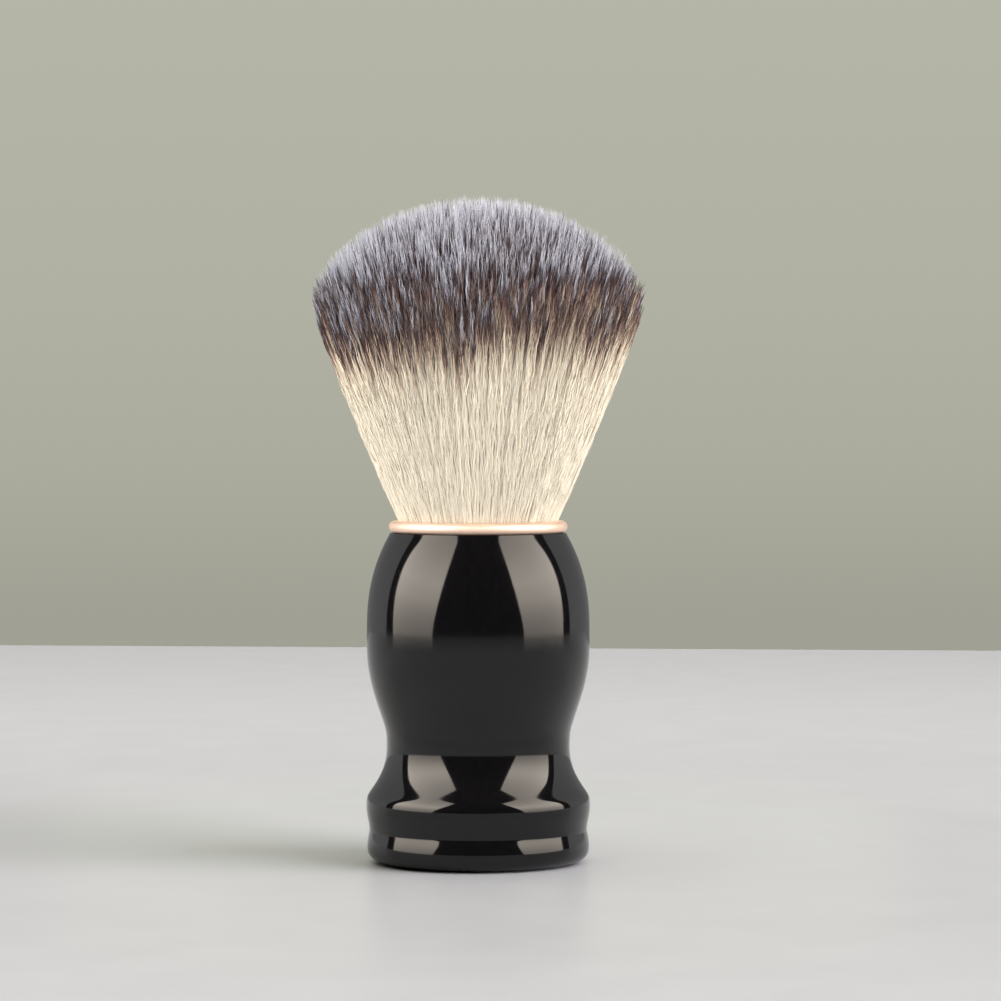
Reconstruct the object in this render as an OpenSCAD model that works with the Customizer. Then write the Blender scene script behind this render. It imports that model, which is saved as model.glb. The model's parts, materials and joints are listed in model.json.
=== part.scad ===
// Shaving brush: a hollow moulded handle with a steel weight in its foot, a metal
// collar, and a fan-shaped synthetic knot potted in a cup that is glued into the handle.
// Millimetres, +Z up. The origin is at the centre of the face that the brush stands on.
// The knot bends. Its fibres are cut along two spheres into the fixed roots, a neck and
// a head. Each sphere is centred on a hinge, so the gap stays even however far it turns:
// the neck turns on the roots about X, and the head turns on the neck about Y.

/* [Handle] */
// Height of the handle's top rim above the table
handle_h = 54.4; // [52:0.2:58]
// Radius of the handle at its top rim
rim_r = 14.5; // [14.3:0.1:15.5]
// Radius of the belly, the widest part that the fingers hold
belly_r = 18.4; // [17:0.1:21]
// Radius of the waist
waist_r = 15.1; // [14.8:0.1:16.5]
// Radius of the bead over the foot
bead_r = 18.5; // [17:0.1:21]
// Radius of the groove between the bead and the foot
groove_r = 17.95; // [16.8:0.05:20]
// Radius of the foot
foot_r = 18.35; // [17:0.1:21]

/* [Inside] */
// Radius of the socket that the knot is glued into
socket_r = 13.15; // [13.1:0.05:13.3]
// Depth of the socket below the rim
socket_depth = 13.4; // [12:0.2:16]
// Radius of the hollow under the socket
hollow_r = 12; // [10:0.1:12.2]
// Height of the steel weight
weight_h = 10; // [6:0.5:10]
// Gap between loosely fitted parts
slip = 0.1; // [0.05:0.01:0.15]

/* [Collar] */
// Outer radius of the metal collar
collar_r = 14.7; // [14.5:0.1:15.5]
// Height of the collar above the rim
collar_h = 1.95; // [1.5:0.05:3]

/* [Knot] */
// Height of the top of the dome above the table
brush_h = 109.8; // [106:0.2:114]
// Radius of the bristles where they leave the collar
knot_r = 13.1; // [12.9:0.05:13.15]
// Radius of the bristle head at its widest
head_r = 27.8; // [25:0.1:30]
// Height of the widest part of the head
head_z = 92.8; // [92:0.2:95]
// Height of the fore-and-aft hinge, halfway up the neck's bend
neck_hinge_z = 63.5; // [62:0.25:64]
// Height of the sideways hinge
head_hinge_z = 77; // [75:0.25:78]

/* [Hidden] */
$fn = 96;
curve_steps = 14;   // straight pieces in each curved stretch of an outline
over = 1;           // how far a cutting tool runs past what it cuts

// Handle outline: heights of its turning points
pad_proud = 0.3;    // the foot pad stands this far below the handle's bottom rim
foot_edge_r = 16.4;
foot_edge_h = 2;
foot_z = 2.3;
groove_z = 5.3;
bead_low_z = 9.2;
bead_top_z = 10.7;
waist_low_z = 19;
waist_top_z = 20.8;
belly_low_z = 35.6;
belly_top_z = 38.5;
bead_lean = 1.7;    // the steep part over the bead sits low in its stretch
belly_lean = 1.4;   // and so does the one under the belly
shoulder_power = 2.36;

// Foot and weight
plug_r = 14.6;
plug_low_z = 1.5;
plug_top_z = 4.6;
plug_spigot_h = 2;
pad_r = 14.2;
damper_h = 1.4;
damper_hole_r = 3;
weight_z = plug_top_z + plug_spigot_h + damper_h;
weight_chamfer = 0.8;
ledge_r = hollow_r - 1;
partition_h = 4;
socket_floor_z = handle_h - socket_depth;

// Knot cup, its glue and what holds the bristle roots in it
glue_h = 1.2;
cup_r = 12.6;
cup_wall = 0.8;
cup_floor = 1.6;
cup_z = socket_floor_z + glue_h;
cup_h = 10.3;
resin_floor = 2;
resin_wall = 0.55;
resin_h = 5;
root_r = cup_r - cup_wall - resin_wall - 0.1;
cord_r = 0.4;
cord_turns = 3;
cord_ring_r = cup_r - cup_wall - cord_r - 0.05;
tied_r = cord_ring_r - cord_r;
skirt_h = 4;
skirt_wall = 0.45;

// Bristles: the head flares from the collar in a slightly hollow curve
collar_top_z = handle_h + collar_h;
flare_slope = 0.4426;
flare_fall = 0.00098;
flare_steps = 12;
flare_top_z = head_z - 1.8;
dome_low_r = head_r * 0.985;
dome_power = 0.62;
hinge_z = [neck_hinge_z, head_hinge_z];
seam_rise = [1.5, 2.5];     // each cut meets the flank this far above its hinge
slice_gap = 0.15;

// Points of a smooth S between two turning points of an outline; lean moves its steep part down
function s_curve(r0, z0, r1, z1, lean = 1) = [
    for (i = [1:curve_steps])
        let (t = i / curve_steps)
        [r0 + (r1 - r0) * (1 - cos(180 * t)) / 2, z0 + (z1 - z0) * pow(t, lean)]
];

// Radius of the bristle head at a height above the collar
function flare(z) = let (h = z - collar_top_z)
    knot_r + flare_slope * h - flare_fall * h * h;

// Height of the dome at a radius
function dome(r) = head_z
    + (brush_h - head_z) * pow(max(0, 1 - pow(r / head_r, 2)), dome_power);

// Outer outline of the handle, from the foot's edge to the top rim
function handle_outline() = concat(
    [for (i = [0:curve_steps]) let (a = 90 * i / curve_steps)
        [foot_edge_r + (foot_r - foot_edge_r) * sin(a),
         pad_proud + foot_edge_h * (1 - cos(a))]],
    [for (i = [1:curve_steps]) let (t = i / curve_steps)
        [foot_r - (foot_r - groove_r) * t * t, foot_z + (groove_z - foot_z) * t]],
    s_curve(groove_r, groove_z, bead_r, bead_low_z),
    s_curve(bead_r, bead_top_z, waist_r, waist_low_z, bead_lean),
    s_curve(waist_r, waist_top_z, belly_r, belly_low_z, belly_lean),
    [for (i = [0:curve_steps]) let (t = i / curve_steps)
        [belly_r - (belly_r - rim_r) * pow(t, shoulder_power),
         belly_top_z + (handle_h - belly_top_z) * t]]
);

// A round bar between two heights
module bar(r, z0, z1) {
    translate([0, 0, z0]) cylinder(r = r, h = z1 - z0);
}

// A round bar with both ends chamfered
module chamfered_bar(r, z0, z1, c) {
    rotate_extrude()
        polygon([[0, z0], [r - c, z0], [r, z0 + c], [r, z1 - c], [r - c, z1], [0, z1]]);
}

// Handle: one moulding with a socket in its top and a stepped hollow in its foot
module handle_shell() {
    color("#17171a")
    difference() {
        rotate_extrude()
            polygon(concat([[0, pad_proud]], handle_outline(), [[0, handle_h]]));
        bar(socket_r, socket_floor_z, handle_h + over);
        bar(plug_r, -over, plug_top_z);
        bar(hollow_r, 0, weight_z + weight_h);
        bar(ledge_r, 0, socket_floor_z - partition_h);
    }
}

// Plug that closes the foot; its spigot holds the weight up against the ledge
module base_plug() {
    color("#1d1d20") {
        bar(plug_r - slip, plug_low_z, plug_top_z);
        bar(hollow_r - slip, plug_top_z, plug_top_z + plug_spigot_h);
    }
}

// Foam foot pad, stuck in the recess under the plug
module foot_pad() {
    color("#2b2b2d")
    chamfered_bar(pad_r, 0, plug_low_z, 0.3);
}

// Steel slug that makes the brush stand firmly
module balance_weight() {
    color("#8d9196")
    chamfered_bar(hollow_r - slip, weight_z, weight_z + weight_h, weight_chamfer);
}

// Foam washer that keeps the weight from rattling
module weight_damper() {
    color("#d8d4c8")
    difference() {
        bar(hollow_r - 2 * slip, weight_z - damper_h, weight_z);
        bar(damper_hole_r, weight_z - damper_h - over, weight_z + over);
    }
}

// Bed of glue between the cup and the socket's floor
module cup_adhesive() {
    color("#c9b27a")
    chamfered_bar(socket_r - slip, socket_floor_z, cup_z, 0.3);
}

// Plastic cup that holds the bristle roots
module knot_cup() {
    color("#e8e4da")
    difference() {
        bar(cup_r, cup_z, cup_z + cup_h);
        bar(cup_r - cup_wall, cup_z + cup_floor, cup_z + cup_h + over);
    }
}

// Resin poured into the cup round the bristle roots
module potting_resin() {
    resin_z = cup_z + cup_floor;
    color("#d9b36a")
    difference() {
        bar(cup_r - cup_wall, resin_z, resin_z + resin_h);
        bar(cup_r - cup_wall - resin_wall, resin_z + resin_floor, resin_z + resin_h + over);
    }
}

// Turns of waxed cord that tie the bundle above the resin
module binding_cord() {
    first_z = cup_z + cup_floor + resin_h + 2 * cord_r;
    color("#efe9d6")
    for (i = [0:cord_turns - 1])
        translate([0, 0, first_z + i * 2.2 * cord_r])
            rotate_extrude() translate([cord_ring_r, 0]) circle(r = cord_r, $fn = 32);
}

// Metal collar: a rounded flange on the rim, and a skirt down round the cup
module collar_ring() {
    flange_in = knot_r + 0.15;
    skirt_in = cup_r + slip / 2;
    half = collar_h / 2;
    color("#e6b08c")
    rotate_extrude()
        polygon(concat(
            [[skirt_in, handle_h - skirt_h],
             [skirt_in + skirt_wall, handle_h - skirt_h],
             [skirt_in + skirt_wall, handle_h]],
            [for (i = [0:2 * curve_steps]) let (a = -90 + 90 * i / curve_steps)
                [collar_r - half + half * cos(a), handle_h + half + half * sin(a)]],
            [[flange_in, collar_top_z], [skirt_in, handle_h]]
        ));
}

// The whole bundle of fibres: set in the resin, pinched by the cord, flaring out of the
// collar, and ending in a dome
module fibres() {
    low_z = cup_z + cup_floor + resin_floor;
    tied_z = cup_z + cup_floor + resin_h;
    rotate_extrude()
        polygon(concat(
            [[0, low_z], [root_r, low_z], [root_r, tied_z],
             [tied_r, tied_z + 0.2], [tied_r, cup_z + cup_h - 0.6]],
            [for (i = [0:flare_steps])
                let (z = collar_top_z + (flare_top_z - collar_top_z) * i / flare_steps)
                [flare(z), z]],
            [for (i = [0:2 * curve_steps])
                let (r = dome_low_r * cos(90 * i / (2 * curve_steps)))
                [r, dome(r)]]
        ));
}

// The sphere of a cut, centred on its hinge
module cut_ball(i, grow = 0) {
    seam_z = hinge_z[i] + seam_rise[i];
    translate([0, 0, hinge_z[i]])
        sphere(r = norm([flare(seam_z), seam_rise[i]]) + grow);
}

// Roots: the part of the bundle that the handle holds
module bristle_roots() {
    color("#e6dcc6")
    intersection() {
        fibres();
        union() {
            bar(knot_r + over, socket_floor_z, collar_top_z);
            cut_ball(0);
        }
    }
}

// Neck: turns fore and aft on the roots
module bristle_neck() {
    color("#e9dfca")
    difference() {
        intersection() {
            fibres();
            cut_ball(1);
        }
        cut_ball(0, slice_gap);
        bar(knot_r + over, socket_floor_z, collar_top_z);
    }
}

// Head: turns sideways on the neck, and carries the dome of tips
module bristle_head() {
    color("#8a7a78")
    difference() {
        fibres();
        cut_ball(1, slice_gap);
        bar(head_r, socket_floor_z, hinge_z[1]);
    }
}

handle_shell();
base_plug();
foot_pad();
balance_weight();
weight_damper();
cup_adhesive();
knot_cup();
potting_resin();
binding_cord();
collar_ring();
bristle_roots();
bristle_neck();
bristle_head();
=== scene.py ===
"""Looks of the shaving brush: a polished turned handle, a satin collar, and a knot made of single fibres.

Everything is in metres, in the CAD model's frame: Z is up along the brush's axis. Sizes that the CAD model
fixes are read from it, and the fibres fill the outline of its bristle solids.
"""

import json
import math

import bpy
import numpy as np
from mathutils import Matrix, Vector
from mathutils.kdtree import KDTree


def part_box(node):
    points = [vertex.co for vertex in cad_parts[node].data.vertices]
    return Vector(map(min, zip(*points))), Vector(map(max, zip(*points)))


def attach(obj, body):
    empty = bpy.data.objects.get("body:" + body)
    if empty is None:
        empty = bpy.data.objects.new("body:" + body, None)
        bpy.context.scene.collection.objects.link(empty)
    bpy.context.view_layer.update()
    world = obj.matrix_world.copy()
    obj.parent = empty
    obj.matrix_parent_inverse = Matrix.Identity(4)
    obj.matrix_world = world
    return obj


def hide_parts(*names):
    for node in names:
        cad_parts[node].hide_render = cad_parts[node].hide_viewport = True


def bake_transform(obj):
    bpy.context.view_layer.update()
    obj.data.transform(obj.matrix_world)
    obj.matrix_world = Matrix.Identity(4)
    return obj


MM = 0.001
BAKE_UV = "OFBake"  # the UV layer's name that the exporter keeps as it is
SEED = 20

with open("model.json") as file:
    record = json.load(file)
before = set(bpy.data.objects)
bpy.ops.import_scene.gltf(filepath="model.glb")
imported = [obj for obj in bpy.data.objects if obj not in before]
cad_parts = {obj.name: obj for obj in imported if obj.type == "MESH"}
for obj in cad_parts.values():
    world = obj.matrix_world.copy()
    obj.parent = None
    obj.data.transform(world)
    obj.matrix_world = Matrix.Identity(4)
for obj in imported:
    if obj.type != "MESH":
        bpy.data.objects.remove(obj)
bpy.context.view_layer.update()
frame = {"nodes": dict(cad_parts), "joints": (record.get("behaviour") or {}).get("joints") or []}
rng = np.random.default_rng(SEED)


# ---------------------------------------------------------------- the CAD model's outlines


RAY_START = 0.2  # rays start this far from the brush's origin, well outside it
OFF_SEAM = math.radians(1.7)  # rays come in at this angle to the X axis, where no seam lies


def outer_radius(node, z):
    """Outer radius of a turned CAD node at a height, or 0 above or below it."""
    out = Vector((math.cos(OFF_SEAM), math.sin(OFF_SEAM), 0))
    hit, place, _, _ = frame["nodes"][node].ray_cast(out * RAY_START + Vector((0, 0, z)), -out)
    return math.hypot(place.x, place.y) if hit else 0


def top_height(node, r):
    """Height of a CAD node's top at a distance from the axis."""
    hit, place, _, _ = frame["nodes"][node].ray_cast(Vector((r, 0.3 * MM, RAY_START)), Vector((0, 0, -1)))
    if not hit:
        raise ValueError(f"{node} has no top at {r}")
    return place.z


def section_corners(node):
    """Every different (radius, height) pair among the corners of a turned CAD node."""
    found = {}
    for v in frame["nodes"][node].data.vertices:
        r = math.hypot(v.co.x, v.co.y)
        found[(round(r, 5), round(v.co.z, 5))] = (r, v.co.z)
    return list(found.values())


# ---------------------------------------------------------------- meshes


def new_mesh(name, points, quads, triangles=None, uv=None, smooth_angle=None):
    """A smooth mesh from arrays. uv holds one pair per face corner, quads first."""
    mesh = bpy.data.meshes.new(name)
    quads = np.asarray(quads, np.int32).reshape(-1, 4)
    triangles = np.asarray([] if triangles is None else triangles, np.int32).reshape(-1, 3)
    corners = np.concatenate([quads.ravel(), triangles.ravel()])
    starts = np.concatenate([np.arange(len(quads)) * 4, quads.size + np.arange(len(triangles)) * 3])
    mesh.vertices.add(len(points))
    mesh.vertices.foreach_set("co", np.asarray(points, np.float32).ravel())
    mesh.loops.add(len(corners))
    mesh.loops.foreach_set("vertex_index", corners)
    mesh.polygons.add(len(starts))
    mesh.polygons.foreach_set("loop_start", starts.astype(np.int32))
    mesh.polygons.foreach_set("use_smooth", np.ones(len(starts), bool))
    if uv is not None:
        layer = mesh.uv_layers.new(name=BAKE_UV)
        layer.data.foreach_set("uv", np.asarray(uv, np.float32).ravel())
    mesh.update(calc_edges=True)
    mesh.validate()
    if smooth_angle is not None:
        mesh.set_sharp_from_angle(angle=smooth_angle)
    obj = bpy.data.objects.new(name, mesh)
    bpy.context.scene.collection.objects.link(obj)
    return obj


LATHE_CREASE = math.radians(32)  # edges of a turned piece that are sharper than this stay sharp


def lathe(name, section, sides, uv_rows=None):
    """Turns a closed section, a list of (radius, height), round the Z axis.

    uv_rows gives each point its own V.
    """
    section = np.asarray(section, float)
    rows = len(section)
    turn = np.linspace(0, 2 * math.pi, sides, endpoint=False)
    points = np.empty((rows, sides, 3))
    points[..., 0] = section[:, :1] * np.cos(turn)
    points[..., 1] = section[:, :1] * np.sin(turn)
    points[..., 2] = section[:, 1:]
    i = np.repeat(np.arange(rows), sides)
    j = np.tile(np.arange(sides), rows)
    i2, j2 = (i + 1) % rows, (j + 1) % sides
    quads = np.stack([i * sides + j, i * sides + j2, i2 * sides + j2, i2 * sides + j], axis=1)
    if uv_rows is None:
        steps = np.hypot(*np.diff(np.vstack([section, section[:1]]), axis=0).T)
        uv_rows = np.concatenate([[0], np.cumsum(steps)]) / steps.sum()
    else:
        uv_rows = np.append(uv_rows, uv_rows[0])
    u0, u1 = j / sides, (j + 1) / sides
    v0, v1 = uv_rows[i], uv_rows[i + 1]
    uv = np.stack([u0, v0, u1, v0, u1, v1, u0, v1], axis=1)
    return new_mesh(name, points.reshape(-1, 3), quads, uv=uv, smooth_angle=LATHE_CREASE)


def smooth_line(points, step, blur):
    """Evenly spaced points along a line, rounded by averaging over about blur. The ends stay."""
    points = np.asarray(points, float)
    along = np.concatenate([[0], np.cumsum(np.hypot(*np.diff(points, axis=0).T))])
    even = np.linspace(0, along[-1], int(along[-1] / step))
    line = np.stack([np.interp(even, along, points[:, k]) for k in (0, 1)], axis=1)
    gap = even[1] - even[0]
    reach = int(3 * blur / gap)
    weights = np.exp(-0.5 * (np.arange(-reach, reach + 1) * gap / blur) ** 2)
    weights /= weights.sum()
    before = 2 * line[0] - line[reach:0:-1]
    after = 2 * line[-1] - line[-2 : -reach - 2 : -1]
    padded = np.vstack([before, line, after])
    return np.stack([np.convolve(padded[:, k], weights, "valid") for k in (0, 1)], axis=1)


# ---------------------------------------------------------------- materials


def material(name, color, roughness=0.5, metallic=0.0, ior=1.5):
    """A material and its nodes, with every uniform value set on its socket."""
    mat = bpy.data.materials.new(name)
    mat.use_nodes = True
    shader = mat.node_tree.nodes["Principled BSDF"]
    shader.inputs["Base Color"].default_value = (*color, 1)
    shader.inputs["Roughness"].default_value = roughness
    shader.inputs["Metallic"].default_value = metallic
    shader.inputs["IOR"].default_value = ior
    return mat, mat.node_tree, shader


def noise(tree, scale, detail=2.0, stretch=(1, 1, 1)):
    """A noise texture in object space. Its scale is in bumps per metre."""
    place = tree.nodes.new("ShaderNodeTexCoord")
    mapping = tree.nodes.new("ShaderNodeMapping")
    mapping.inputs["Scale"].default_value = stretch
    texture = tree.nodes.new("ShaderNodeTexNoise")
    texture.inputs["Scale"].default_value = scale
    texture.inputs["Detail"].default_value = detail
    tree.links.new(place.outputs["Object"], mapping.inputs["Vector"])
    tree.links.new(mapping.outputs["Vector"], texture.inputs["Vector"])
    return texture.outputs["Fac"]


def map_range(tree, value, came, goes):
    """A value that runs over the range goes while the given one runs over the range came."""
    node = tree.nodes.new("ShaderNodeMapRange")
    node.inputs["From Min"].default_value, node.inputs["From Max"].default_value = came
    node.inputs["To Min"].default_value, node.inputs["To Max"].default_value = goes
    tree.links.new(value, node.inputs["Value"])
    return node.outputs["Result"]


def spread(tree, value, low, high):
    """value, from about 0.3 to 0.7 as noise is, spread over low to high."""
    return map_range(tree, value, (0.3, 0.7), (low, high))


def fill_ramp(ramp, stops):
    """Gives a colour ramp its stops, as pairs of a position and a colour."""
    elements = ramp.color_ramp.elements
    while len(elements) > len(stops):
        elements.remove(elements[-1])
    while len(elements) < len(stops):
        elements.new(0.5)
    for element, (position, color) in zip(elements, stops):
        element.position = position
        element.color = (*color, 1)


def color_over(tree, value, stops):
    """A colour that follows a value. The stops are pairs of a value, from low to high, and its colour."""
    low, high = stops[0][0], stops[-1][0]
    ramp = tree.nodes.new("ShaderNodeValToRGB")
    fill_ramp(ramp, [((place - low) / (high - low), color) for place, color in stops])
    tree.links.new(map_range(tree, value, (low, high), (0, 1)), ramp.inputs["Fac"])
    return ramp.outputs["Color"]


def color_between(tree, value, low, high):
    """A colour that runs between two colours with a noise value."""
    ramp = tree.nodes.new("ShaderNodeValToRGB")
    fill_ramp(ramp, [(0.32, low), (0.68, high)])
    tree.links.new(value, ramp.inputs["Fac"])
    return ramp.outputs["Color"]


def vary_color(tree, shader, value, low, high):
    """Makes the base colour run between two colours with a noise value."""
    tree.links.new(color_between(tree, value, low, high), shader.inputs["Base Color"])


def bump(tree, shader, value, height):
    """A bump of that height, in metres, from a noise value."""
    node = tree.nodes.new("ShaderNodeBump")
    node.inputs["Distance"].default_value = height
    tree.links.new(value, node.inputs["Height"])
    tree.links.new(node.outputs["Normal"], shader.inputs["Normal"])


def plain_material(name, low, high, scale, rough, height, metallic=0.0, stretch=(1, 1, 1)):
    """A material whose colour, roughness and surface all vary a little.

    The colour runs from low to high, the roughness over the range rough, and the bumps are height high.
    """
    mat, tree, shader = material(name, low, metallic=metallic)
    value = noise(tree, scale, 3.0, stretch)
    vary_color(tree, shader, value, low, high)
    tree.links.new(spread(tree, value, *rough), shader.inputs["Roughness"])
    bump(tree, shader, value, height)
    return mat


def black_gloss():
    """Polished black resin: almost a mirror, with a faint waviness and a little dust."""
    mat, tree, shader = material("black_gloss", (0.0033, 0.0033, 0.004), ior=1.42)
    dust = noise(tree, 900, 4.0)
    vary_color(tree, shader, dust, (0.0028, 0.0028, 0.0036), (0.0040, 0.0039, 0.0046))
    tree.links.new(spread(tree, noise(tree, 260, 3.0), 0.055, 0.085), shader.inputs["Roughness"])
    bump(tree, shader, noise(tree, 90, 1.0), 0.004 * MM)
    return mat


def rose_gold():
    """Satin rose gold plating, with very fine turning marks round it."""
    mat, tree, shader = material("rose_gold", (0.77, 0.58, 0.475), metallic=0.8)
    marks = noise(tree, 700, 2.0, (0.12, 0.12, 6))
    vary_color(tree, shader, marks, (0.75, 0.56, 0.455), (0.80, 0.61, 0.505))
    tree.links.new(spread(tree, marks, 0.44, 0.52), shader.inputs["Roughness"])
    bump(tree, shader, marks, 0.003 * MM)
    return mat


FIBRE_REACH = 60 * MM  # V runs from 0 at a fibre's tip to 1 at this distance from it
FIBRE_COLORS = [  # distance from the tip in mm, and the colour there
    (0.0, (0.515, 0.545, 0.64)),
    (1.1, (0.455, 0.485, 0.585)),
    (2.3, (0.295, 0.312, 0.387)),
    (3.4, (0.122, 0.108, 0.127)),
    (4.4, (0.050, 0.034, 0.037)),
    (5.7, (0.090, 0.054, 0.054)),
    (7.0, (0.230, 0.152, 0.134)),
    (8.3, (0.42, 0.33, 0.27)),
    (9.7, (0.55, 0.485, 0.395)),
    (11.9, (0.635, 0.59, 0.50)),
    (14.6, (0.665, 0.634, 0.552)),
    (60.0, (0.675, 0.644, 0.562)),
]
TONES = (0.9, 1.04)  # the darkest and the lightest fibre's share of those colours
CLEAR_FROM = 8.5 * MM  # the undyed part of a fibre lets light through. It starts this far from the tip
CLEAR_FULL = 12.5 * MM  # and is full from here on
CLEAR_SHARE = 0.88  # share of a shadow ray that passes each side of a fibre
V_MARGIN = 0.002  # V stays this far inside the layer's edges


def dye_v(distance):
    """The V that stands for a distance from a fibre's tip."""
    return np.clip(distance / FIBRE_REACH, V_MARGIN, 1 - V_MARGIN)


def fibre(name, clear):
    """Dyed synthetic fibre. V is the distance from its tip, and U is how light or dark the fibre is.

    A clear fibre's undyed part throws only a faint shadow.
    """
    mat, tree, shader = material(name, (0.8, 0.72, 0.56), roughness=0.55, ior=1.3)
    layer = tree.nodes.new("ShaderNodeUVMap")
    layer.uv_map = BAKE_UV
    parts = tree.nodes.new("ShaderNodeSeparateXYZ")
    ramp = tree.nodes.new("ShaderNodeValToRGB")
    fill_ramp(ramp, [(distance * MM / FIBRE_REACH, color) for distance, color in FIBRE_COLORS])
    tint = tree.nodes.new("ShaderNodeVectorMath")
    tint.operation = "SCALE"
    tree.links.new(layer.outputs["UV"], parts.inputs["Vector"])
    tree.links.new(parts.outputs["Y"], ramp.inputs["Fac"])
    tree.links.new(ramp.outputs["Color"], tint.inputs[0])
    tree.links.new(map_range(tree, parts.outputs["X"], (0, 1), TONES), tint.inputs["Scale"])
    tree.links.new(tint.outputs["Vector"], shader.inputs["Base Color"])
    if clear:
        undyed = (CLEAR_FROM / FIBRE_REACH, CLEAR_FULL / FIBRE_REACH)
        path = tree.nodes.new("ShaderNodeLightPath")
        passed = tree.nodes.new("ShaderNodeMath")
        passed.operation = "MULTIPLY"
        see_through = tree.nodes.new("ShaderNodeBsdfTransparent")
        mixed = tree.nodes.new("ShaderNodeMixShader")
        share = map_range(tree, parts.outputs["Y"], undyed, (0, CLEAR_SHARE))
        tree.links.new(share, passed.inputs[0])
        tree.links.new(path.outputs["Is Shadow Ray"], passed.inputs[1])
        tree.links.new(passed.outputs["Value"], mixed.inputs["Fac"])
        tree.links.new(shader.outputs["BSDF"], mixed.inputs[1])
        tree.links.new(see_through.outputs["BSDF"], mixed.inputs[2])
        tree.links.new(mixed.outputs["Shader"], tree.nodes["Material Output"].inputs["Surface"])
    return mat


# ---------------------------------------------------------------- handle, collar and what is inside


CREASE_BETWEEN = (4 * MM, 8 * MM)  # the outline's narrowest place between these heights is a sharp groove
HOLLOWS_R = 14.7 * MM  # the handle's hollows lie inside this radius
AXIS_R = 1e-6  # a turned face is closed at the axis with a ring of this radius
LATHE_SIDES = 224


def make_handle():
    """The handle: its outline is rounded from the CAD model's, and its hollows are the CAD model's own."""
    low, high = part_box("handle_shell")
    edge = low.z + np.geomspace(0.01, 2.2, 16) * MM
    levels = np.concatenate([edge, np.arange(low.z + 2.6 * MM, high.z - 0.2 * MM, 0.5 * MM)])
    outline = [(outer_radius("handle_shell", z), z) for z in levels]
    corners = section_corners("handle_shell")
    bottom_r = max(r for r, z in corners if z < low.z + 0.01 * MM)
    top_r = max(r for r, z in corners if z > high.z - 0.01 * MM)
    outline = [(bottom_r, low.z)] + outline + [(top_r, high.z)]
    crease_low, crease_high = CREASE_BETWEEN
    at = outline.index(min(c for c in outline if crease_low < c[1] < crease_high))
    outer = smooth_line(outline[: at + 1], 0.2 * MM, 0.4 * MM)
    outer = np.vstack([outer[:-1], smooth_line(outline[at:], 0.2 * MM, 0.55 * MM)])

    socket_r = max(r for r, z in corners if z > high.z - 0.01 * MM and r < top_r - 0.5 * MM)
    inner = [(r, z) for r, z in corners if r < HOLLOWS_R and r != top_r]
    socket_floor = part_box("cup_adhesive")[0].z
    foot = [c for c in inner if c[1] < socket_floor - 0.1 * MM and c[0] > 1 * MM]
    foot_steps = sorted(foot, key=lambda c: (round(c[1], 5), -c[0]))
    partition_z = max(z for r, z in foot_steps)
    section = list(outer)
    section += [(socket_r, high.z), (socket_r, socket_floor), (AXIS_R, socket_floor)]
    section += [(AXIS_R, partition_z)]
    section += foot_steps[::-1]
    handle = lathe("handle", section, LATHE_SIDES)
    handle.data.materials.append(black_gloss())
    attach(handle, "handle")
    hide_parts("handle_shell")
    return handle


def make_collar():
    """The collar: a half-round flange with its skirt, turned finer than the CAD model's."""
    low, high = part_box("collar_ring")
    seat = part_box("handle_shell")[1].z
    half = (high.z - seat) / 2
    centre_r = high.x - half
    corners = section_corners("collar_ring")
    skirt = [r for r, z in corners if z < low.z + 0.01 * MM]
    mouth_r = min(r for r, z in corners if z > high.z - 0.01 * MM)
    bend = np.radians(np.linspace(-90, 90, 49))
    section = [(min(skirt), low.z), (max(skirt), low.z), (max(skirt), seat)]
    section += [(centre_r + half * math.cos(a), seat + half + half * math.sin(a)) for a in bend]
    section += [(mouth_r, high.z), (min(skirt), seat)]
    collar = lathe("collar", section, LATHE_SIDES)
    collar.data.materials.append(rose_gold())
    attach(collar, "handle")
    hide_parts("collar_ring")
    return collar


def finish_inner_parts():
    """The parts inside the handle are the CAD model's own, with a material each."""
    dull_black = ((0.012, 0.012, 0.013), (0.02, 0.02, 0.021))
    rubber_black = ((0.015, 0.015, 0.016), (0.035, 0.035, 0.036))
    steel = ((0.42, 0.43, 0.44), (0.52, 0.53, 0.54))
    foam = ((0.5, 0.48, 0.42), (0.62, 0.6, 0.54))
    glue = ((0.42, 0.32, 0.13), (0.56, 0.45, 0.22))
    natural = ((0.68, 0.65, 0.57), (0.76, 0.73, 0.66))
    amber = ((0.5, 0.3, 0.08), (0.66, 0.44, 0.16))
    cord = ((0.66, 0.6, 0.46), (0.8, 0.75, 0.62))
    turned = {"metallic": 1.0, "stretch": (0.2, 0.2, 8)}
    finishes = {
        "base_plug": plain_material("black_moulding", *dull_black, 700, (0.4, 0.55), 0.01 * MM),
        "foot_pad": plain_material("foam_rubber", *rubber_black, 2500, (0.8, 0.95), 0.05 * MM),
        "balance_weight": plain_material("turned_steel", *steel, 900, (0.25, 0.4), 0.006 * MM, **turned),
        "weight_damper": plain_material("damper_foam", *foam, 2200, (0.8, 0.95), 0.06 * MM),
        "cup_adhesive": plain_material("set_glue", *glue, 300, (0.15, 0.35), 0.04 * MM),
        "knot_cup": plain_material("natural_plastic", *natural, 400, (0.35, 0.5), 0.01 * MM),
        "potting_resin": plain_material("amber_resin", *amber, 250, (0.08, 0.2), 0.02 * MM),
        "binding_cord": plain_material("waxed_cord", *cord, 1800, (0.5, 0.7), 0.04 * MM),
    }
    for node, finish in finishes.items():
        mesh = frame["nodes"][node].data
        mesh.materials.clear()
        mesh.materials.append(finish)


# ---------------------------------------------------------------- the knot

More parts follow.
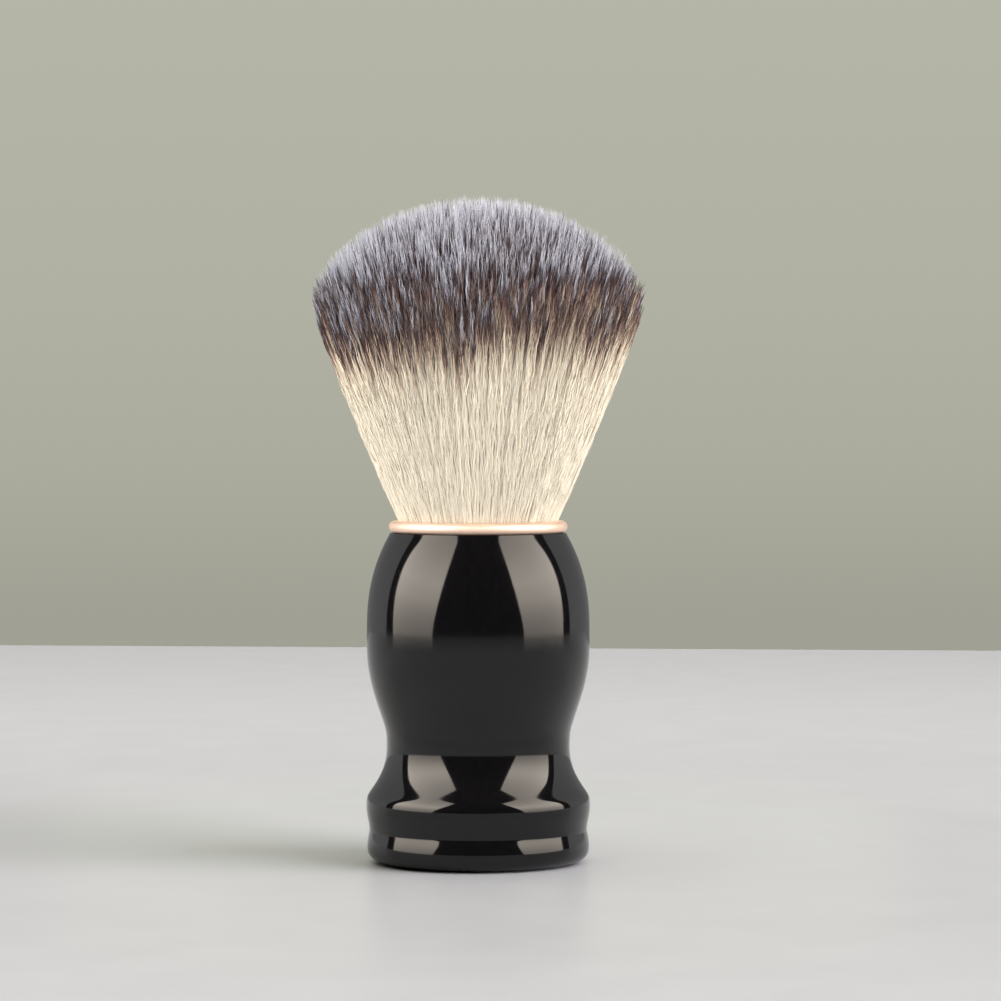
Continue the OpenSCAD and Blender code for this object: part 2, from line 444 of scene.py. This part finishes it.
KNOT_NODES = {"low": "bristle_roots", "middle": "bristle_neck", "high": "bristle_head"}
COLLAR_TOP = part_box("collar_ring")[1].z
DOME_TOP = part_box("bristle_head")[1].z
HEAD_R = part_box("bristle_head")[1].x
HINGES = [Vector(joint["pos_m"]) for joint in frame["joints"]]
NECK_START = COLLAR_TOP + 0.6 * MM  # the fibres start to bend here
NECK_END = 2 * HINGES[0].z - NECK_START  # the lower bend ends here, and its hinge is in its middle
HEAD_CUT = 2 * HINGES[1].z - NECK_END  # the knot's pieces are cut here and at NECK_END

FIBRES = 18000
CORE_SHARE = 0.97  # the solid core's radius as a share of the knot's
CORE_DEPTH = 13 * MM  # the core's top lies this far under the tips
CORE_TOP_SHADE = 5 * MM  # and is painted as dark as a fibre is at this distance from its tip: painted shade in the gaps under the tips
LONG_SHARE = 0.94  # fibres outside this share of the radius show all the way down to the collar
TIP_LENGTH = 15 * MM  # as much of the others as shows over the core
OUTER_FIBRES = 0.24  # extra share of the fibres that lies outside LONG_SHARE
CLUMP_FIBRES = 2.5  # fibres to a clump
DARK_CLUMPS = 0.36  # share of the clumps at the dome's rim that are painted dark up to their sunk tips: painted shade in the gaps between the tips
SHORT_SHARE = 0.22  # share of the fibres that are clearly shorter than their neighbours
TIPS_OVER = 0.2 * MM  # the longest tips stand this far over the CAD model's dome
RIM_DROP = 1.2 * MM  # and those at the very rim this much lower
GATHER_LENGTH = 10 * MM  # a clump's fibres draw together over this length below their tips
TAPER_LENGTH = 9 * MM  # and each tapers over this one
TIP_GIRTH = 0.006 * MM  # radius at the very tip
TONE_STRIP = 0.05  # width in U of the strip of tones on one fibre


def knot_outline():
    """Tables of the flank's radius by height and the dome's height by radius, read from the CAD model."""
    flank_z = np.linspace(COLLAR_TOP + 0.05 * MM, DOME_TOP - 20 * MM, 60)
    flank_r = [max(outer_radius(node, z) for node in KNOT_NODES.values()) for z in flank_z]
    dome_r = np.linspace(0, HEAD_R * 0.995, 80)
    dome_z = [top_height("bristle_head", r) for r in dome_r]
    return flank_z, np.array(flank_r), dome_r, np.array(dome_z)


FLANK_Z, FLANK_R, DOME_R, DOME_Z = knot_outline()
FLANK_LOW = np.polyfit(FLANK_Z[:12], FLANK_R[:12], 1)
FLANK_HIGH = np.polyfit(FLANK_Z[-12:], FLANK_R[-12:], 1)


def fan_radius(z):
    """Radius of the fan at a height. Past either end of the flank it goes on in a straight line."""
    inside = np.interp(z, FLANK_Z, FLANK_R)
    below = np.polyval(FLANK_LOW, z)
    above = np.polyval(FLANK_HIGH, z)
    return np.where(z < FLANK_Z[0], below, np.where(z > FLANK_Z[-1], above, inside))


def dome_height(share):
    """Height at which fibres at that share of the fan's radius meet the dome."""
    low = np.full(np.shape(share), DOME_TOP - 22 * MM)
    high = np.full(np.shape(share), DOME_TOP + 1 * MM)
    for _ in range(40):
        middle = (low + high) / 2
        r = share * fan_radius(middle)
        inside = (r < DOME_R[-1]) & (middle < np.interp(r, DOME_R, DOME_Z))
        low = np.where(inside, middle, low)
        high = np.where(inside, high, middle)
    return (low + high) / 2


def smooth_noise(points, size, seed):
    """A smooth random value, mostly from -1 to 1, for each 2-D point. It changes over about size."""
    waves = np.random.default_rng(seed)
    total = np.zeros(len(points))
    for _ in range(14):
        direction = waves.normal(size=2) / size
        total += np.sin(points @ direction * 2.4 + waves.uniform(0, 2 * math.pi))
    return total / 5


def random_places(count):
    """Random places in the fan, as shares of its radius and angles, with more of them near its edge."""
    outside = rng.uniform(0, 1, count) < OUTER_FIBRES
    share = np.sqrt(np.where(outside, rng.uniform(LONG_SHARE**2, 1, count), rng.uniform(0, 1, count)))
    return share, rng.uniform(0, 2 * math.pi, count)


def clump_centres(places, count):
    """For each place, the number of the nearest of count random clump centres. Then all the centres."""
    reach, turn = random_places(count)
    centres = np.stack([reach * np.cos(turn), reach * np.sin(turn)], axis=1)
    tree = KDTree(count)
    for k, (x, y) in enumerate(centres):
        tree.insert((x, y, 0), k)
    tree.balance()
    return np.array([tree.find((x, y, 0))[1] for x, y in places]), centres


class Fibres:
    """Every fibre's place, length, width, tone and crimp, as arrays."""

    def __init__(self, count):
        share, turn = random_places(count)
        self.share = share
        self.turn = turn
        self.place = np.stack([share * np.cos(turn), share * np.sin(turn)], axis=1)
        grid = self.place * HEAD_R

        # clumps: how far each stands in, whether it is painted dark as shade, and how its fibres draw
        # together and drift
        clumps = int(count / CLUMP_FIBRES)
        number, centres = clump_centres(self.place, clumps)
        self.clump = centres[number]
        clump_drift = rng.normal(0, 0.4 * MM, (clumps, 2))
        near_rim = np.clip((np.hypot(*centres.T) - 0.25) / 0.6, 0.06, 1)
        # painted shade: sunk clumps are coloured dark up to their tips, so the gaps between the tips look
        # dark
        dark = rng.uniform(0, 1, clumps) < DARK_CLUMPS * near_rim
        clump_rise = rng.normal(0, 0.12 * MM, clumps) - rng.exponential(0.3 * MM, clumps)
        clump_rise -= dark * rng.uniform(0.6, 2.8, clumps) * MM
        self.darkest = (dark * rng.uniform(3.4, 4.8, clumps) * MM)[number]
        self.pull = rng.uniform(0.5, 0.95, clumps)[number] * rng.uniform(0.8, 1.0, count)
        self.drift = clump_drift[number] + rng.normal(0, 0.16 * MM, (count, 2))

        # lengths: most tips lie close under the dome, some well below it, and the rim is rounded
        short = rng.exponential(0.45 * MM, count)
        short += (rng.uniform(0, 1, count) < SHORT_SHARE) * rng.uniform(0.5, 3.6, count) * MM
        self.tip = dome_height(share) + clump_rise[number] - short + TIPS_OVER
        self.tip = np.minimum(self.tip, DOME_TOP + TIPS_OVER)
        self.tip -= RIM_DROP * np.clip((share - 0.94) / 0.06, 0, 1) ** 2

        # those near the rim start inside the collar, and the others just inside the core
        self.start = np.full(count, COLLAR_TOP - 1 * MM)
        self.start = np.where(share < LONG_SHARE, self.tip - TIP_LENGTH, self.start)

        # looks: width, tone, and how far the dye's bands are shifted towards the tip, by the dye and by
        # painted shade
        self.radius = rng.uniform(0.06, 0.1, count) * MM
        self.tone = np.clip(rng.normal(0.62, 0.17, count), 0.12, 0.94)
        self.dye_and_shade_shift = rng.normal(0, 0.6 * MM, count) + rng.normal(0, 1.2 * MM, clumps)[number]
        # painted shade: on the right side the bands come nearer the tips, so the dome is darker there and
        # lighter on the left
        self.dye_and_shade_shift += self.place[:, 0] * MM
        self.dye_and_shade_shift += smooth_noise(grid, 5 * MM, 6) * 0.8 * MM
        at_rim = np.clip((share - 0.8) / 0.12, 0, 1)
        self.dye_and_shade_shift += rng.uniform(1.3, 4.6, clumps)[number] * MM * at_rim
        self.twist = rng.uniform(0, 2 * math.pi, count)

        # crimp: its size along and across the rim, its wave's length, and where the wave starts
        self.crimp = rng.uniform(0.06, 0.26, (count, 1)) * MM * np.ones((1, 2))
        self.crimp[:, 1] *= rng.uniform(0.3, 1.0, count)
        self.wave = 6.4 * MM * (1 + 0.12 * smooth_noise(grid, 5 * MM, 3) + rng.normal(0, 0.12, count))
        self.phase = 3.0 * smooth_noise(grid, 2.5 * MM, 4) + rng.normal(0, 2.2, count)

    def centre(self, pick, z):
        """Points on the centre lines of the picked fibres: z has a row for each fibre."""
        fan = fan_radius(z)[..., None]
        line = self.place[pick][:, None, :] * fan

        # towards its tip a fibre draws in to its clump's middle
        middle = self.clump[pick][:, None, :] * fan
        tip = self.tip[pick][:, None]
        below_tip = np.clip((tip - z) / GATHER_LENGTH, 0, 1)
        gather = (1 - below_tip) ** 2 * (1 + 2 * below_tip)
        line += (middle - line) * (self.pull[pick][:, None] * gather)[..., None]

        # higher up it drifts from its place
        rise = np.clip((z - COLLAR_TOP) / (DOME_TOP - COLLAR_TOP), 0, 1)
        line += self.drift[pick][:, None, :] * (rise**1.6)[..., None]

        # its crimp is a wave along the rim with a ripple on it, and another wave across the rim
        angle = 2 * math.pi * z / self.wave[pick][:, None] + self.phase[pick][:, None]
        grown = np.clip(0.3 + rise * 7, 0, 1)
        across = self.crimp[pick][:, :1] * np.sin(angle) * grown
        out = self.crimp[pick][:, 1:] * np.sin(angle * 0.83 + 1.7 * self.phase[pick][:, None]) * grown
        ripple = 2 * math.pi * z / (self.wave[pick][:, None] * 0.33) + 3.1 * self.phase[pick][:, None]
        across += 0.28 * self.crimp[pick][:, :1] * np.sin(ripple) * grown
        turn = self.turn[pick][:, None]
        line[..., 0] += out * np.cos(turn) - across * np.sin(turn)
        line[..., 1] += out * np.sin(turn) + across * np.cos(turn)
        return np.concatenate([line, z[..., None]], axis=2)

    def girth(self, pick, z):
        """Radius of each picked fibre at each height: even, and tapered to its tip."""
        below_tip = np.clip((self.tip[pick][:, None] - z) / TAPER_LENGTH, 0, 1)
        slim = 1.3 - 0.1 * np.clip((z - COLLAR_TOP) / (DOME_TOP - COLLAR_TOP), 0, 1)
        return self.radius[pick][:, None] * slim * (0.16 + 0.84 * below_tip**0.7)


def tubes(name, fibres, pick, z_low, z_high, steps, tipped):
    """Three-sided tubes along the picked fibres between two heights, with level ends or pointed tips."""
    sides = 3
    share = np.linspace(0, 1, steps + 1)
    if tipped:
        share = 1 - (1 - share) ** 1.35  # closer together towards the tip
    z = z_low[:, None] + (z_high - z_low)[:, None] * share
    centre = fibres.centre(pick, z)
    girth = fibres.girth(pick, z)
    if tipped:
        girth[:, -1] = TIP_GIRTH
    turn = fibres.twist[pick][:, None, None] + np.arange(sides) * 2 * math.pi / sides
    points = np.repeat(centre[:, :, None, :], sides, axis=2)
    points[..., 0] += girth[..., None] * np.cos(turn)
    points[..., 1] += girth[..., None] * np.sin(turn)

    count, rows = len(pick), steps + 1
    first = (np.arange(count) * rows * sides)[:, None, None]
    row = (np.arange(steps) * sides)[None, :, None]
    side = np.arange(sides)[None, None, :]
    after = (side + 1) % sides
    a, b = first + row + side, first + row + after
    quads = np.stack([a, b, b + sides, a + sides], axis=3).reshape(-1, 4)
    ends = np.concatenate([points[:, 0, ::-1], points[:, -1]]).reshape(-1, 3)
    caps = count * rows * sides + np.arange(2 * count * sides).reshape(-1, sides)

    tone = fibres.tone[pick]
    u0 = np.broadcast_to(tone[:, None, None] + TONE_STRIP * side / sides, a.shape)
    u1 = np.broadcast_to(tone[:, None, None] + TONE_STRIP * (side + 1) / sides, a.shape)
    slant = 1 / np.cos(np.arctan(fibres.share[pick] * FLANK_HIGH[0]))
    # the bands' place also carries painted shade on the dome's right side
    dye = (fibres.tip[pick][:, None] - z) * slant[:, None] + fibres.dye_and_shade_shift[pick][:, None]
    # painted shade: sunk dark clumps stay dark up to their tips
    v = dye_v(np.maximum(dye, fibres.darkest[pick][:, None]))
    v0 = np.broadcast_to(v[:, :-1, None], a.shape)
    v1 = np.broadcast_to(v[:, 1:, None], a.shape)
    quad_uv = np.stack([u0, v0, u1, v0, u1, v1, u0, v1], axis=3).reshape(-1, 2)
    cap_uv = []
    for end, aside in ((v[:, 0], -V_MARGIN), (v[:, -1], V_MARGIN)):
        corners = [tone, end, tone + TONE_STRIP, end, tone, end + aside]
        cap_uv.append(np.stack(corners, axis=1).reshape(-1, 2))
    uv = np.vstack([quad_uv, *cap_uv])
    return new_mesh(name, np.vstack([points.reshape(-1, 3), ends]), quads, caps, uv)


def bend_below(obj):
    """Bakes the world place of the stretch between the roots and the neck into its mesh."""
    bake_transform(obj)


def bend_above(obj):
    """Bakes the world place of the stretch between the neck and the head into its mesh."""
    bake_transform(obj)


def make_core(finish):
    """A solid core of fibres, in the same three pieces as the fibres round it. Its top is painted dark as
    shade.
    """
    roots_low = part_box("bristle_roots")[0].z
    set_r = outer_radius("bristle_roots", roots_low + 1 * MM)
    tied_r = outer_radius("bristle_roots", roots_low + 5 * MM)
    resin_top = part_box("potting_resin")[1].z
    fan_start = COLLAR_TOP - 4.4 * MM

    def side(z_low, z_high, steps):
        z = np.linspace(z_low, z_high, steps)
        return [(float(CORE_SHARE * fan_radius(h)), float(h)) for h in z]

    shares = np.linspace(CORE_SHARE, 0.002, 30)  # the top, from its rim to the axis
    heights = dome_height(shares) - CORE_DEPTH
    top = [(float(s * fan_radius(z)), float(z)) for s, z in zip(shares, heights)]
    fan = side(HEAD_CUT, top[0][1], 4)
    foot = [(AXIS_R, roots_low), (set_r, roots_low), (set_r, resin_top), (tied_r, resin_top + 0.2 * MM)]
    foot += [(tied_r, fan_start)]
    sections = {
        "core_low": foot + side(COLLAR_TOP, NECK_END, 12) + [(AXIS_R, NECK_END)],
        "core_middle": [(AXIS_R, NECK_END)] + side(NECK_END, HEAD_CUT, 12) + [(AXIS_R, HEAD_CUT)],
        "core_high": [(AXIS_R, HEAD_CUT)] + fan + top[1:],
    }
    made = []
    for name, section in sections.items():
        section = np.array(section)
        from_tip = float(dome_height(np.array(CORE_SHARE))) - section[:, 1]
        # painted shade: the core's top takes the fibres' dark band colour, so the gaps between the tips
        # look deep
        if name == "core_high":
            from_tip[len(fan) + 1 :] = CORE_TOP_SHADE
        core = lathe(name, section, 96, dye_v(from_tip))
        core.data.materials.append(finish)
        made.append(core)
    bend_below(made[0])
    bend_above(made[1])
    bend_above(made[2])
    return made


def make_knot():
    """The knot: a core, and the fibres that show, each cut at NECK_END and HEAD_CUT."""
    finish = fibre("fibre", True)
    core = make_core(fibre("fibre_core", False))
    fibres = Fibres(FIBRES)
    neck_end = np.full(FIBRES, NECK_END)
    head_cut = np.full(FIBRES, HEAD_CUT)
    made = []

    def add_level(level, parts, bottom, top, steps, bend):
        """One level of the fibres that start below its top, in a few pieces round the axis."""
        there = np.flatnonzero(fibres.start < top)
        for k, pick in enumerate(np.array_split(there[np.argsort(fibres.turn[there])], parts)):
            name = f"fibres_{level}_{k + 1}"
            obj = tubes(name, fibres, pick, bottom[pick], top[pick], steps, level == "high")
            bend(obj)
            obj.data.materials.append(finish)
            made.append(obj)

    add_level("low", 3, fibres.start, neck_end, 12, bend_below)
    add_level("middle", 3, np.maximum(fibres.start, NECK_END), head_cut, 11, bend_above)
    add_level("high", 6, np.maximum(fibres.start, HEAD_CUT), fibres.tip, 10, bend_above)
    for obj in made + core:
        node = KNOT_NODES[obj.name.split("_")[1]]
        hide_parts(node)
    return made + core


# ---------------------------------------------------------------- stage, lights and camera


STAGE_R = 640 * MM  # the panels and the sheets beside them stand at this distance
SHEET_RISE = 52  # elevation of their highest row, for the shape of their sides


def direction(azimuth, elevation=0):
    """The direction at an azimuth, 0 towards the camera and growing to the right, and an elevation."""
    turn = math.radians(azimuth)
    rise = math.radians(elevation)
    level = np.array([math.sin(turn), -math.cos(turn), 0])
    return level * math.cos(rise) + (0, 0, math.sin(rise))


def panel_edge(elevation):
    """Azimuth of a side panel's front edge at an elevation: the panels lean together towards the top."""
    return 32.5 + 15 * np.exp(-elevation / 19)


def panel_top(azimuth):
    """Elevation of a side panel's straight top edge, seen from the brush."""
    return np.degrees(np.arctan(1.48 * np.cos(np.radians(1.3 * (azimuth - 54)))))


def upright(name, first, last, top, bottom=0.0, distance=STAGE_R):
    """An upright sheet round the brush, with functions for its outline.

    first and last give its sides' azimuths at an elevation, and top gives its height at an azimuth.
    """
    rows, columns = 25, 20
    rise = np.linspace(0, 1, rows)[:, None]
    elevation = rise * SHEET_RISE
    azimuth = first(elevation) + (last(elevation) - first(elevation)) * np.linspace(0, 1, columns)
    turn = np.radians(azimuth)
    points = np.empty((rows, columns, 3))
    points[..., 0] = distance * np.sin(turn)
    points[..., 1] = -distance * np.cos(turn)
    points[..., 2] = bottom + (top(azimuth) - bottom) * rise
    start = (np.arange(rows - 1)[:, None] * columns + np.arange(columns - 1)).ravel()
    quads = np.stack([start, start + 1, start + columns + 1, start + columns], axis=1)
    return stage_only(new_mesh(name, points.reshape(-1, 3), quads))


def overhead(name, azimuths, elevations, distance):
    """A flat sheet over the brush, between two pairs of directions."""
    corners = []
    for elevation, span in zip(elevations, azimuths):
        for azimuth in (-span, span):
            corners.append(direction(azimuth, elevation) * distance)
    return stage_only(new_mesh(name, corners, [[0, 1, 3, 2]]))


def facing(name, azimuth, elevation, distance, width, height):
    """A flat sheet that faces the brush from one direction."""
    out = direction(azimuth, elevation)
    across = direction(azimuth + 90) * width / 2
    up = np.cross(across, out)
    up *= height / 2 / np.linalg.norm(up)
    corners = [out * distance + x * across + y * up for x, y in ((-1, -1), (1, -1), (1, 1), (-1, 1))]
    return stage_only(new_mesh(name, corners, [[0, 1, 2, 3]]))


def stage_only(sheet):
    """A sheet that the camera can't see."""
    sheet.visible_camera = False
    return sheet


def glow(sheet, color, strength, profile=((0, 1), (1, 1)), along="Z"):
    """Makes a sheet give light. The profile gives its strength, as a share, at distances along an axis."""
    mat = bpy.data.materials.new(sheet.name)
    mat.use_nodes = True
    tree = mat.node_tree
    tree.nodes.clear()
    place = tree.nodes.new("ShaderNodeTexCoord")
    parts = tree.nodes.new("ShaderNodeSeparateXYZ")
    ramp = tree.nodes.new("ShaderNodeValToRGB")
    fill_ramp(ramp, [(z, [share * c for c in color]) for z, share in profile])
    light = tree.nodes.new("ShaderNodeEmission")
    light.inputs["Strength"].default_value = strength
    tree.links.new(place.outputs["Object"], parts.inputs["Vector"])
    tree.links.new(parts.outputs[along], ramp.inputs["Fac"])
    tree.links.new(ramp.outputs["Color"], light.inputs["Color"])
    out = tree.nodes.new("ShaderNodeOutputMaterial")
    tree.links.new(light.outputs["Emission"], out.inputs["Surface"])
    sheet.data.materials.append(mat)


FLOOR_LOW = (0.192, 0.195, 0.190)  # the table's darker and lighter grain
FLOOR_HIGH = (0.200, 0.203, 0.198)
FLOOR_PAINTED_LIGHT = [  # distance behind the brush in metres, and the table's lightness there as a share: painted light and shade, lightest just in front of the brush and darker behind it and towards the camera
    (-0.20, 0.95),
    (-0.05, 1.0),
    (0.05, 0.97),
    (0.17, 0.856),
    (0.54, 0.78),
]
FLOOR_WORN = (0.1, 0.3)  # distances from the brush in metres where its polish starts to go and has gone
FLOOR_ROUGH = (0.3, 0.9)  # its roughness at those distances
TABLE_BACK = 0.538  # distance of the table's far edge behind the brush
TABLE_SLANT = -0.09  # and how much that distance grows for each metre to the right
TABLE_SIDE = 1.2
TABLE_FRONT = -1.0


def make_floor():
    """The table: a pale board whose far edge runs almost straight across behind the brush. Its colour
    carries painted light and shade, lightest just in front of the brush.
    """
    mat, tree, shader = material("floor", (0.196, 0.199, 0.194), ior=1.17)
    place = tree.nodes.new("ShaderNodeTexCoord")
    length = tree.nodes.new("ShaderNodeVectorMath")
    length.operation = "LENGTH"
    tree.links.new(place.outputs["Object"], length.inputs[0])
    rough = map_range(tree, length.outputs["Value"], FLOOR_WORN, FLOOR_ROUGH)
    tree.links.new(rough, shader.inputs["Roughness"])
    parts = tree.nodes.new("ShaderNodeSeparateXYZ")
    tree.links.new(place.outputs["Object"], parts.inputs["Vector"])
    grain = color_between(tree, noise(tree, 60, 4.0), FLOOR_LOW, FLOOR_HIGH)
    # painted light and shade: the table's colour is lightest just in front of the brush and darker behind
    # it and towards the camera
    painted_light = color_over(tree, parts.outputs["Y"], [(y, (share,) * 3) for y, share in FLOOR_PAINTED_LIGHT])
    shaded = tree.nodes.new("ShaderNodeVectorMath")
    shaded.operation = "MULTIPLY"
    tree.links.new(grain, shaded.inputs[0])
    tree.links.new(painted_light, shaded.inputs[1])
    tree.links.new(shaded.outputs["Vector"], shader.inputs["Base Color"])
    corners = [(x, TABLE_FRONT, 0) for x in (-TABLE_SIDE, TABLE_SIDE)]
    corners += [(x, TABLE_BACK + TABLE_SLANT * x, 0) for x in (TABLE_SIDE, -TABLE_SIDE)]
    floor = new_mesh("floor", corners, [[0, 1, 2, 3]])
    floor.data.materials.append(mat)
    return floor


WALL = [  # how far up a direction points, and the wall's colour there
    (-0.10, (0.340, 0.343, 0.285)),
    (-0.055, (0.355, 0.358, 0.298)),
    (-0.02, (0.410, 0.412, 0.342)),
    (0.02, (0.436, 0.440, 0.367)),
    (0.10, (0.462, 0.468, 0.392)),
]


def make_wall():
    """The plain wall all round, a little lighter towards the top."""
    world = bpy.data.worlds.new("world")
    world.use_nodes = True
    tree = world.node_tree
    place = tree.nodes.new("ShaderNodeTexCoord")
    parts = tree.nodes.new("ShaderNodeSeparateXYZ")
    tree.links.new(place.outputs["Generated"], parts.inputs["Vector"])
    color = color_over(tree, parts.outputs["Z"], WALL)
    tree.links.new(color, tree.nodes["Background"].inputs["Color"])
    bpy.context.scene.world = world


PANEL_PROFILE = [  # height in metres, and the panel's strength there as a share
    (0.0, 0.40),
    (0.09, 0.62),
    (0.17, 0.85),
    (0.29, 1.0),
    (0.42, 0.90),
    (0.60, 0.74),
    (0.85, 0.62),
]
PANEL_COLOR = (1.0, 0.90, 0.79)
PANEL_STRENGTH = 9.0
SIDE_PROFILE = [  # distance behind the brush in metres, and the side sheets' strength there
    (0.20, 0.95),
    (0.36, 0.66),
    (0.49, 0.43),
    (0.58, 0.31),
    (0.63, 0.24),
]
SIDE_END = 168  # azimuth where the side sheets end, behind the brush
CURTAIN_TOP = 1.6  # height of the curtain and the side sheets in metres


def panel_back(elevation):
    """Azimuth of a side panel's back edge at an elevation."""
    return 97 - 10 * (elevation / 50) ** 6


def curtain_edge(elevation):
    """Azimuth where the black curtain in front ends and the grey side sheets start."""
    return 109 - 9 * elevation / SHEET_RISE


def make_side(name, way):
    """A tall panel at one side, and the grey sheet behind it. way is -1 for the left, 1 for the right."""
    panel = upright(
        f"panel_{name}",
        lambda elevation: way * panel_edge(elevation),
        lambda elevation: way * panel_back(elevation),
        lambda azimuth: STAGE_R * np.tan(np.radians(panel_top(way * azimuth))),
    )
    glow(panel, PANEL_COLOR, PANEL_STRENGTH, PANEL_PROFILE)
    side = upright(
        f"side_{name}",
        lambda elevation: way * curtain_edge(elevation),
        lambda elevation: way * SIDE_END,
        lambda azimuth: CURTAIN_TOP,
        bottom=-200 * MM,
    )
    glow(side, (1, 0.98, 0.98), 1.0, SIDE_PROFILE, "Y")
    return panel


def sun_lamp(name, energy, color, angle):
    """A wide sun lamp that shines straight down and shows in no reflection."""
    data = bpy.data.lights.new(name, "SUN")
    data.energy = energy
    data.color = color
    data.angle = math.radians(angle)
    data.cycles.use_multiple_importance_sampling = False
    lamp = bpy.data.objects.new(name, data)
    lamp.visible_glossy = False
    bpy.context.scene.collection.objects.link(lamp)
    return lamp


def light_group(name, objects):
    """A collection of objects that lamps and sheets can be set to light, or to be shaded by."""
    made = bpy.data.collections.new(name)
    for obj in objects:
        made.objects.link(obj)
    return made


def make_light(floor, brush):
    """The brush's lights are three panels and a front fill. The table's are two suns and a back fill."""
    panels = [make_side("left", -1), make_side("right", 1)]
    curtain = upright(
        "curtain",
        lambda elevation: -curtain_edge(elevation),
        curtain_edge,
        lambda azimuth: CURTAIN_TOP,
        distance=STAGE_R + 5 * MM,
    )
    glow(curtain, (1, 1, 1.2), strength=0.006)
    ceiling = overhead("panel_top", azimuths=(40, 120), elevations=(64, 76), distance=1.3)
    glow(ceiling, (1, 0.98, 0.95), strength=4)
    fill = facing("fill_front", azimuth=5, elevation=24, distance=0.62, width=0.5, height=0.4)
    glow(fill, (1, 0.965, 0.955), strength=2.5)
    back = facing("fill_back", azimuth=180, elevation=50, distance=0.55, width=0.6, height=0.3)
    glow(back, (1, 1, 1), strength=2.2)
    back.visible_glossy = False
    key = sun_lamp("key_right", energy=13.7, color=(0.925, 0.88, 1.0), angle=58)
    key_from = Vector(direction(azimuth=66, elevation=22))
    key.rotation_euler = key_from.to_track_quat("Z", "Y").to_euler()
    sky = sun_lamp("table_top", energy=5.2, color=(1.0, 0.985, 0.905), angle=120)

    table = light_group("lit_table", [floor])
    shading = light_group("shades_table", brush)
    satin = light_group("lit_satin", brush[1:])
    fill.light_linking.receiver_collection = satin
    for source in (key, sky, back):
        source.light_linking.receiver_collection = table
    for source in (key, sky):
        source.light_linking.blocker_collection = shading
    for panel in panels:
        panel.light_linking.receiver_collection = shading


CAMERA_PLACE = Vector((0, -0.680, 0.080))
CAMERA_AIM = Vector((0.00368, 0, 0.05965))  # the brush stands a little to the left of the picture's middle


def make_camera():
    """A long lens in front of the brush, a little above its middle."""
    data = bpy.data.cameras.new("camera")
    data.lens = 148.5
    data.sensor_width = 36
    data.clip_start = 0.01
    camera = bpy.data.objects.new("camera", data)
    bpy.context.scene.collection.objects.link(camera)
    camera.location = CAMERA_PLACE
    aim = CAMERA_AIM - CAMERA_PLACE
    camera.rotation_euler = aim.to_track_quat("-Z", "Y").to_euler()
    bpy.context.scene.camera = camera


brush = [make_handle(), make_collar()]
finish_inner_parts()
brush += make_knot()
make_wall()
make_light(make_floor(), brush)
make_camera()
bpy.context.scene.view_settings.view_transform = "Standard"
